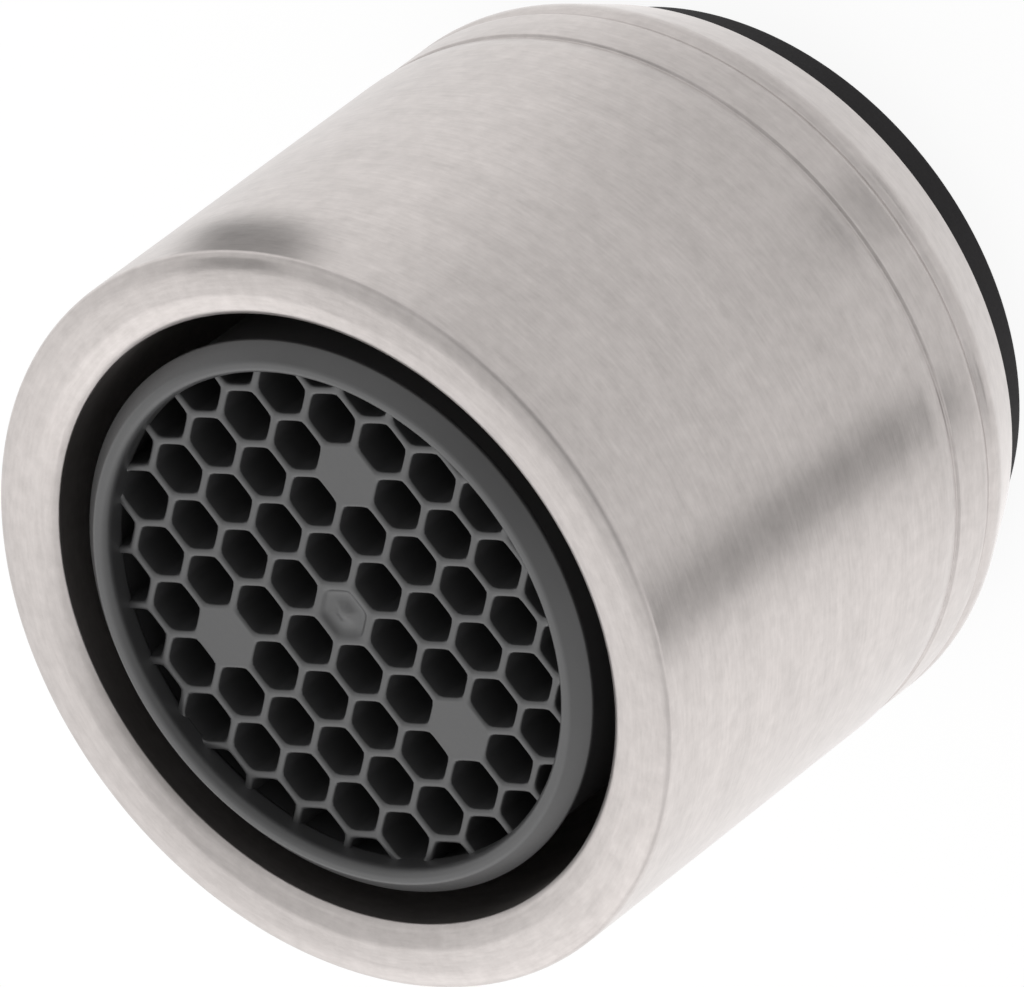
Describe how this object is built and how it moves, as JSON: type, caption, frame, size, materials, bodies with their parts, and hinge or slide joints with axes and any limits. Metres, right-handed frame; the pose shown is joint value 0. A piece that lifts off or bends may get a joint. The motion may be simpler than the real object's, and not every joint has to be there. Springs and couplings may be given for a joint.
{
  "type": "tap aerator",
  "caption": "Round tap aerator with a brushed steel housing, a honeycomb outlet inside an annular air gap, a rubber washer and a threaded socket that screws onto a spout.",
  "frame": {"origin": "on the axis at the washer's sealing face, which is the lowest face: the part stands on it with the outlet up", "axes": "+Z along the axis, from the inlet out of the outlet; the honeycomb's cells have their flats towards +Y and -Y"},
  "size_m": [0.0244, 0.0244, 0.0218],
  "materials": {
    "brushed_stainless": "fine brushing round the axis",
    "black_rubber": "matt moulded rubber",
    "grey_plastic": "satin moulded plastic",
    "dark_plastic": "satin moulded plastic",
    "pale_plastic": "satin moulded plastic"
  },
  "bodies": {
    "root": {"housing": "brushed_stainless", "sealing_washer": "black_rubber", "nozzle_casing": "grey_plastic", "upper_grid": "dark_plastic", "lower_grid": "dark_plastic", "jet_plate": "pale_plastic", "strainer": "pale_plastic"}
  },
  "joints": []
}
